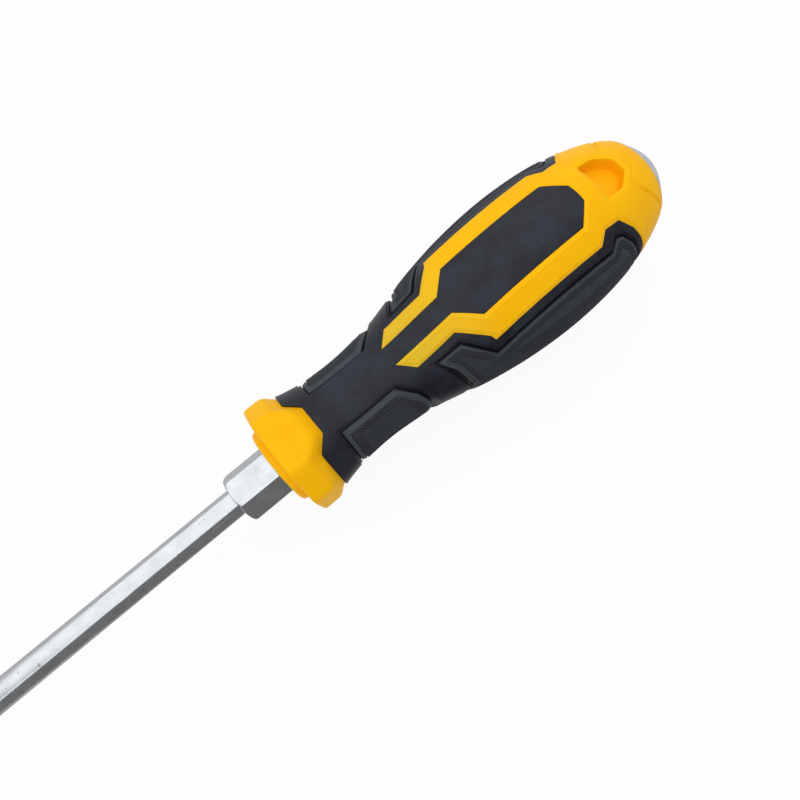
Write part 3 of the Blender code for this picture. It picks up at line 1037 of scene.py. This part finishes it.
def yellow_plastic():
    """Satin moulded yellow, with a painted sheen that makes the ribs' tips a little lighter and cooler.
    """
    mat, shader, start = finish("yellow_plastic_finish", 0.0, 1.16)
    along = start.node('ShaderNodeSeparateXYZ', inputs={"Vector": start.object_point()}, output="X")
    from_start, from_end = (start.ramp(place(low), place(high), along)
                            for low, high in (RIB_SHEEN_START_SHARES, RIB_SHEEN_END_SHARES))
    cloud = start.ramp(0.3, 0.7, start.noise(120, 4, 0.55))
    colour = start.mixed(cloud, rgb(252, 183, 3), rgb(254, 192, 8))
    # Painted sheen: the ribs' tips mixed towards a paler, cooler yellow
    colour = start.mixed((1 - from_end) * from_start * 0.8, colour, rgb(220, 186, 48))
    roughness = 0.42 + cloud * 0.08
    connect(shader, colour, roughness, start.bump(start.noise(1500, 2, 0.5), 0.00002, 0.35))
    return mat


def soft_charcoal(name, light, dark, base_roughness, groove):
    """Soft charcoal moulding: faint painted clouds of sheen, painted shade between ribs and in grooves.

    A groove is the two heights, in millimetres, where its painted shade starts and where it is full.
    """
    mat, shader, start = finish(name, 0.0, 1.30)
    height, valley = (start.node('ShaderNodeAttribute', {"attribute_name": key}, output="Fac")
                      for key in ("height", "valley"))
    cloud = start.ramp(0.3, 0.7, start.noise(150, 4, 0.6))
    # Painted sheen: clouds of the lighter and the darker charcoal
    colour = start.mixed(cloud, dark, light)
    # Painted shade: towards near black between the pads' ribs and low in grooves and pockets
    for share in (valley * 0.7, start.ramp(*groove, height) * 0.85):
        colour = start.mixed(share, colour, rgb(6, 6, 8))
    roughness = base_roughness + cloud * 0.12
    connect(shader, colour, roughness, start.bump(start.noise(4200, 2, 0.6), 0.000015, 0.4))
    return mat


def sleeve_rubber():
    # Clouds of painted sheen between these two charcoals, and painted shade in grooves below these
    # heights
    return soft_charcoal("soft_charcoal_finish", rgb(38, 42, 52), rgb(10, 12, 19), 0.42,
                         groove=(-0.36, -0.70))


def pad_rubber():
    # Faint clouds of painted sheen between these two charcoals, and painted shade below these heights
    return soft_charcoal("pad_rubber_finish", rgb(66, 70, 78), rgb(56, 60, 67), 0.58,
                         groove=(-0.45, -0.95))


def paint(obj, mat):
    obj.data.materials.clear()
    obj.data.materials.append(mat)


def fit(obj, mat, node):
    """Give a piece its finish, and put it in the place of the solid that it stands for."""
    paint(obj, mat)
    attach(obj, "root")
    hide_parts(node)


def build_tool():
    """Make the nine pieces, each with its finish."""
    steel = plated_steel()
    fit(steel_bar(), steel, "blade")
    fit(wrench_bolster(), steel, "bolster")
    fit(cap_dome(), blasted_steel(), "strike_cap")
    hard = join([rib_moulding(), guard_moulding(), hanging_recess()], "hard_moulding")
    fit(hard, yellow_plastic(), "handle_core")
    sleeve = join([sleeve_land(), sleeve_core(), pocket_tray("front_tray", FRONT_POCKET_SHARES),
                   pocket_tray("rear_tray", REAR_POCKET_SHARES)], "soft_sleeve")
    fit(sleeve, sleeve_rubber(), "grip_sleeve")
    rubber = pad_rubber()
    for pads, word in ((front_pads(), "front"), (rear_pads(), "rear")):
        for pad, side in zip(pads, ("left", "right")):
            fit(pad, rubber, f"{word}_pad_{side}")


# Floor, lights and camera

FLOOR_SIZE = 6.0
FLOOR_GAP = 0.0001
PAPER_GREY = (0.9, 0.9, 0.9, 1)
PAPER_ROUGHNESS = 0.9
NEAR_WHITE_SHARE = 0.92
NEAR_DISTANCE = 0.15
FAR_DISTANCE = 0.8
CARD_SIZE = 0.9
CARD_PLACE = (0.1, -0.345, 0.19)
CARD_TILT = math.radians(-33)
CARD_GREY = (0.27, 0.27, 0.265, 1)
WHITE = (1, 1, 1, 1)
SKY_STRENGTH = 0.45
LAMPS = (
    ("overhead_lamp", (0.1, 0.28, 0.9), (2.6, 1.5), 11.4),
    ("front_lamp", (0.1, -0.45, 0.85), (0.35, 0.35), 0.9),
)
CAMERA_PLACE = Vector((0.1134, -0.0396, 0.1348))
CAMERA_WAY = Vector((0.126, 0.240, -0.963))
CAMERA_UP = Vector((0.633, 0.727, 0.264))
FOCAL_PIXELS = 609.7
PICTURE_PIXELS = 800
SENSOR_WIDTH = 36
NEAREST_SEEN = 0.005


def seen_directly(start):
    """1 for rays of the eye, of reflections and of clear glass, and 0 for light that falls on things."""
    rays = [start.node('ShaderNodeLightPath', output=f"Is {kind} Ray")
            for kind in ("Camera", "Glossy", "Transmission")]
    return start.maths('MAXIMUM', start.maths('MAXIMUM', rays[0], rays[1]), rays[2])


def paper(name, grey):
    """A new dull material of one grey: the material, its shader and a wire to start from."""
    mat, shader, start = finish(name, 0.0, 1.4)
    shader.inputs["Base Color"].default_value = grey
    shader.inputs["Roughness"].default_value = PAPER_ROUGHNESS
    return mat, shader, start


def build_floor():
    """Pale paper that is seen as white, and keeps a soft shadow round the tool."""
    bpy.ops.object.select_all(action='DESELECT')
    spot = (HANDLE_LENGTH, 0, FLOOR_HEIGHT - FLOOR_GAP)
    bpy.ops.mesh.primitive_plane_add(size=FLOOR_SIZE, location=spot)
    floor = named("floor")
    mat, shader, start = paper("floor_paper", PAPER_GREY)
    reach = start.node('ShaderNodeVectorMath', {"operation": 'LENGTH'}, {0: start.object_point()},
                       output="Value")
    far = start.ramp(NEAR_DISTANCE, FAR_DISTANCE, reach)
    share = seen_directly(start) * (NEAR_WHITE_SHARE + (1 - NEAR_WHITE_SHARE) * far)
    white = start.node('ShaderNodeEmission', inputs={"Color": WHITE, "Strength": 1.0})
    plain = Wire(mat.node_tree, shader.outputs[0])
    seen = start.node('ShaderNodeMixShader', inputs={0: share, 1: plain, 2: white})
    mat.node_tree.links.new(seen.socket, mat.node_tree.nodes["Material Output"].inputs["Surface"])
    paint(floor, mat)


def build_card():
    """A grey card on the tool's right, which only reflections see."""
    bpy.ops.object.select_all(action='DESELECT')
    bpy.ops.mesh.primitive_plane_add(size=CARD_SIZE, location=CARD_PLACE, rotation=(CARD_TILT, 0, 0))
    card = named("grey_card")
    mat, _, _ = paper("grey_card_paper", CARD_GREY)
    paint(card, mat)
    card.visible_camera = False
    card.visible_diffuse = False
    card.visible_shadow = False


def build_world():
    """A white studio: plain light on the tool, and white where it is seen."""
    world = bpy.data.worlds.new("studio")
    bpy.context.scene.world = world
    world.use_nodes = True
    tree = world.node_tree
    start = Wire(tree)
    light = tree.nodes["Background"]
    light.inputs["Color"].default_value = WHITE
    light.inputs["Strength"].default_value = SKY_STRENGTH
    white = start.node('ShaderNodeBackground', inputs={"Color": WHITE, "Strength": 1.0})
    seen = start.node('ShaderNodeMixShader',
                      inputs={0: seen_directly(start), 1: Wire(tree, light.outputs[0]), 2: white})
    tree.links.new(seen.socket, tree.nodes["World Output"].inputs["Surface"])


def lamp(name, spot, aim, size, watts):
    """A soft lamp, so wide and so deep, that looks at a point."""
    data = bpy.data.lights.new(name, 'AREA')
    data.shape = 'RECTANGLE'
    data.size, data.size_y = size
    data.energy = watts
    obj = bpy.data.objects.new(name, data)
    bpy.context.scene.collection.objects.link(obj)
    obj.location = spot
    obj.rotation_euler = (Vector(aim) - Vector(spot)).to_track_quat('-Z', 'Y').to_euler()


def build_lights():
    middle = ((NOSE_FACE + HANDLE_END) / 2, 0, 0)
    for name, spot, size, watts in LAMPS:
        lamp(name, spot, middle, size, watts)


def build_camera():
    """The photograph's camera, as fitted to the edges of the tool in it."""
    data = bpy.data.cameras.new("photo_camera")
    data.sensor_width = SENSOR_WIDTH
    data.lens = FOCAL_PIXELS / PICTURE_PIXELS * SENSOR_WIDTH
    data.clip_start = NEAREST_SEEN
    obj = bpy.data.objects.new("photo_camera", data)
    bpy.context.scene.collection.objects.link(obj)
    back = -CAMERA_WAY.normalized()
    right = CAMERA_UP.cross(back).normalized()
    up = back.cross(right)
    obj.matrix_world = Matrix((
        (right.x, up.x, back.x, CAMERA_PLACE.x), (right.y, up.y, back.y, CAMERA_PLACE.y),
        (right.z, up.z, back.z, CAMERA_PLACE.z), (0, 0, 0, 1),
    ))
    bpy.context.scene.camera = obj


build_tool()
build_floor()
build_card()
build_world()
build_lights()
build_camera()
bpy.context.scene.view_settings.view_transform = 'Standard'
